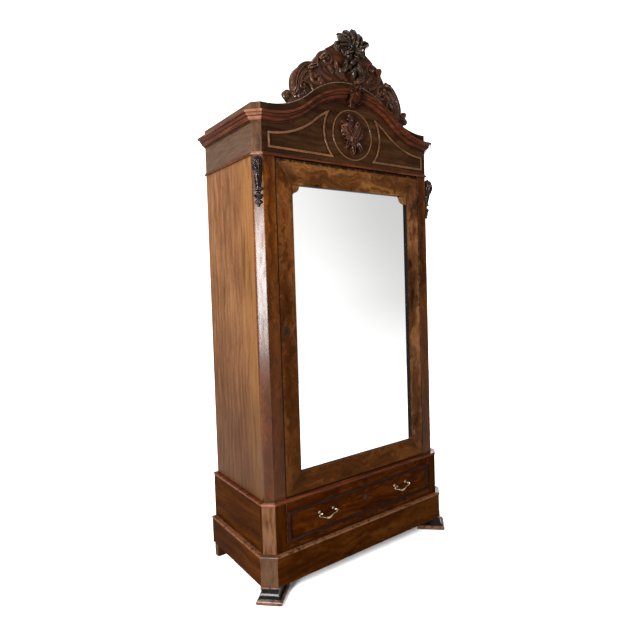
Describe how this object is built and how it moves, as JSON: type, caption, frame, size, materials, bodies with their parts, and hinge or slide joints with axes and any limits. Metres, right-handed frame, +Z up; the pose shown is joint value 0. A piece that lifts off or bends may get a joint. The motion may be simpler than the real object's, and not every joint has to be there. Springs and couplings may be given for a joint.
{
  "type": "bonnetiere cabinet",
  "caption": "Tall free-standing cabinet with a hinged mirror door, canted corners, arched carved cornice and crest, inner shelves and a full-width base drawer with drop handles.",
  "frame": {"origin": "centre of the bounding box, on the floor under the feet", "axes": "+Z up, front facing -Y, +X to the right seen from the front"},
  "size_m": [1.1634, 0.5798, 2.508],
  "materials": {
    "walnut": "french polished walnut veneer",
    "burr_walnut": "french polished figured veneer",
    "mahogany": "french polished mouldings",
    "ebonised": "dark stained carving, waxed",
    "secondary_wood": "unpolished softwood",
    "mirror": "silvered plate glass",
    "brass": "cast, antique",
    "iron": "forged, dark"
  },
  "bodies": {
    "cabinet": {"back_boards": "secondary_wood", "back_feet": "secondary_wood", "base_bottom_rail": "walnut", "base_corners": "walnut", "base_nosing": "mahogany", "base_sides": "walnut", "cabinet_floor": "secondary_wood", "cabinet_top": "secondary_wood", "corbels": "ebonised", "corner_post_left": "walnut", "corner_post_right": "walnut", "cornice_corners": "mahogany", "cornice_front_left": "mahogany", "cornice_front_right": "mahogany", "cornice_sides": "mahogany", "crest_board": "ebonised", "crest_cartouche": "ebonised", "crest_scrolls": "ebonised", "door_pivots": "iron", "door_stop": "secondary_wood", "drawer_runners": "secondary_wood", "frieze_astragal": "mahogany", "frieze_beads": "mahogany", "frieze_corners": "walnut", "frieze_front": "walnut", "frieze_sides": "walnut", "front_foot_left": "walnut", "front_foot_right": "walnut", "keystone": "ebonised", "nosing_corners": "mahogany", "plinth_back": "secondary_wood", "plinth_corners": "walnut", "plinth_front": "walnut", "plinth_sides": "walnut", "roundel_bouquet": "ebonised", "roundel_ring": "mahogany", "shelf_cleats": "secondary_wood", "shelves": "secondary_wood", "side_panel_left": "walnut", "side_panel_right": "walnut"},
    "door": {"door_stile_left": "burr_walnut", "door_stile_right": "burr_walnut", "door_top_rail": "burr_walnut", "door_bottom_rail": "burr_walnut", "mirror_glass": "mirror", "mirror_back": "secondary_wood", "door_lock_case": "iron", "door_escutcheon": "brass"},
    "door_bolt": {"door_lock_bolt": "iron"},
    "drawer": {"drawer_front": "burr_walnut", "drawer_sides": "secondary_wood", "drawer_back": "secondary_wood", "drawer_bottom": "secondary_wood", "drawer_bead": "ebonised", "drawer_lock_case": "iron", "drawer_escutcheon": "brass", "handle_posts": "brass"},
    "drawer_bolt": {"drawer_lock_bolt": "iron"},
    "bail_left_swing": {"bail_left": "brass"},
    "bail_right_swing": {"bail_right": "brass"}
  },
  "joints": [
    {"name": "door_hinge", "type": "hinge", "parent": "cabinet", "child": "door", "pos_m": [0.4025, -0.21214, 1.145], "axis": [0, 0, 1], "range_deg": [0, 110]},
    {"name": "door_bolt_slide", "type": "slide", "parent": "door", "child": "door_bolt", "axis": [-1, 0, 0], "range_m": [0, 0.01]},
    {"name": "drawer_slide", "type": "slide", "parent": "cabinet", "child": "drawer", "axis": [0, -1, 0], "range_m": [0, 0.33]},
    {"name": "drawer_bolt_slide", "type": "slide", "parent": "drawer", "child": "drawer_bolt", "axis": [0, 0, 1], "range_m": [0, 0.008]},
    {"name": "bail_left_hinge", "type": "hinge", "parent": "drawer", "child": "bail_left_swing", "pos_m": [-0.229, -0.26014, 0.3145], "axis": [-1, 0, 0], "range_deg": [0, 95]},
    {"name": "bail_right_hinge", "type": "hinge", "parent": "drawer", "child": "bail_right_swing", "pos_m": [0.229, -0.26014, 0.3145], "axis": [-1, 0, 0], "range_deg": [0, 95]}
  ]
}
